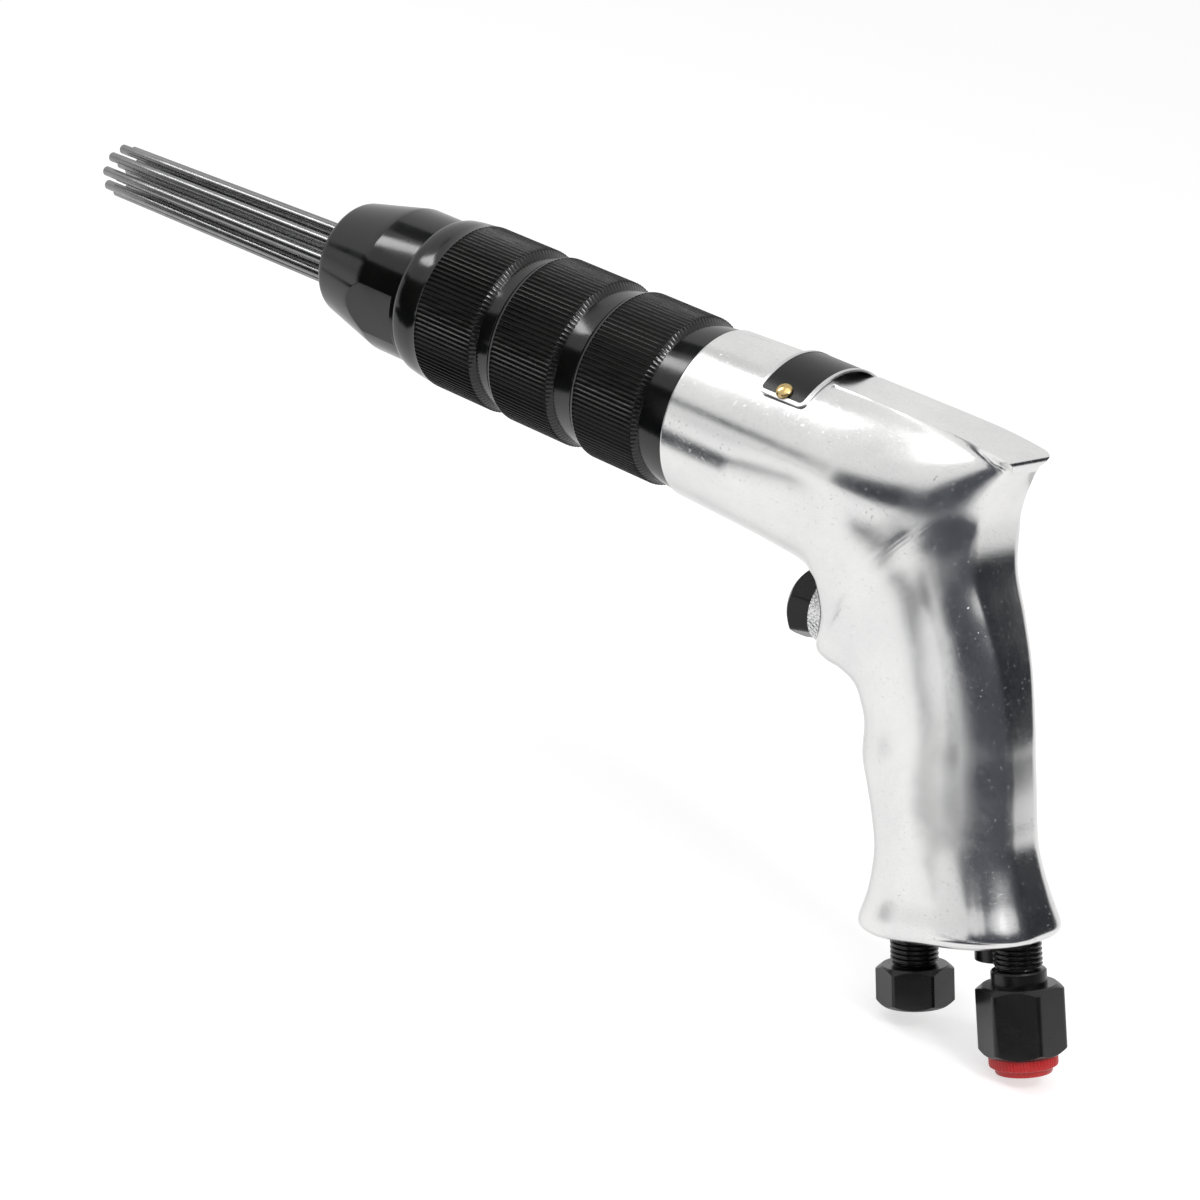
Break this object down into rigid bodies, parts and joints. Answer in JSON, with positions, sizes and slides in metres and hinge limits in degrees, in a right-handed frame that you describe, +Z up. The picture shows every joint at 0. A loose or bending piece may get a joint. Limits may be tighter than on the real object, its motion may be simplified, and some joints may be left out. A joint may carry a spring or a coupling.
{
  "type": "needle scaler",
  "caption": "Pistol-grip air needle scaler: knurled sleeve, steel needle bundle, cast handle with hex push trigger, screwed inlet and exhaust fittings",
  "frame": {"origin": "on the barrel axis, in the plane where the nose piece meets the sleeve", "axes": "+X forward along the barrel, out of the needles; +Z up, away from the handle; +Y the tool's left side"},
  "size_m": [0.3971, 0.0528, 0.1645],
  "materials": {
    "cast_alloy": "polished casting",
    "black_oxide": "black oxide, semi-gloss",
    "needle_steel": "dark spring steel",
    "bare_steel": "ground",
    "bright_steel": "bright, knurled",
    "black_rubber": "matt",
    "plate_black": "black print with silver border",
    "brass": "satin",
    "button_black": "satin black",
    "red_plastic": "ribbed moulding"
  },
  "bodies": {
    "tool": {"body_casting": "cast_alloy", "front_sleeve": "black_oxide", "nose_piece": "black_oxide", "return_spring": "needle_steel", "buffer_ring": "black_rubber", "cylinder_tube": "bare_steel", "cylinder_seals": "black_rubber", "valve_block": "bare_steel", "rear_cushion": "black_rubber", "lock_ring": "bare_steel", "nameplate": "plate_black", "plate_rivets": "brass", "trigger_bush": "brass", "throttle_spring": "needle_steel", "throttle_seat": "brass", "inlet_fitting": "black_oxide", "inlet_strainer": "brass", "exhaust_fitting": "black_oxide", "exhaust_diffuser": "brass", "regulator_screw": "black_oxide"},
    "trigger": {"trigger_button": "button_black", "trigger_collar": "bright_steel", "trigger_stem": "bare_steel"},
    "throttle": {"throttle_valve": "bare_steel"},
    "needle_set": {"needle_holder": "needle_steel", "needles": "needle_steel"},
    "anvil_body": {"anvil": "bare_steel"},
    "piston_body": {"piston": "bare_steel"},
    "plug": {"dust_plug": "red_plastic"}
  },
  "joints": [
    {"name": "trigger_press", "type": "slide", "parent": "tool", "child": "trigger", "axis": [-0.9928, 0, 0.1201], "range_m": [0, 0.0045], "stiffness_N_per_m": 400},
    {"name": "throttle_lift", "type": "slide", "parent": "tool", "child": "throttle", "axis": [-0.9928, 0, 0.1201], "range_m": [0, 0.0045], "deforming": ["throttle_spring"]},
    {"name": "needle_drive", "type": "slide", "parent": "tool", "child": "needle_set", "axis": [1, 0, 0], "range_m": [0, 0.008], "stiffness_N_per_m": 2000, "deforming": ["return_spring"]},
    {"name": "anvil_drive", "type": "slide", "parent": "tool", "child": "anvil_body", "axis": [1, 0, 0], "range_m": [0, 0.008]},
    {"name": "piston_stroke", "type": "slide", "parent": "tool", "child": "piston_body", "axis": [1, 0, 0], "range_m": [0, 0.043]},
    {"name": "plug_pull", "type": "slide", "parent": "tool", "child": "plug", "axis": [-0.3502, 0, -0.9367], "range_m": [0, 0.045]}
  ],
  "couplings": [
    {"joint": "throttle_lift", "follows": "trigger_press", "ratio": 1},
    {"joint": "anvil_drive", "follows": "needle_drive", "ratio": 1}
  ]
}
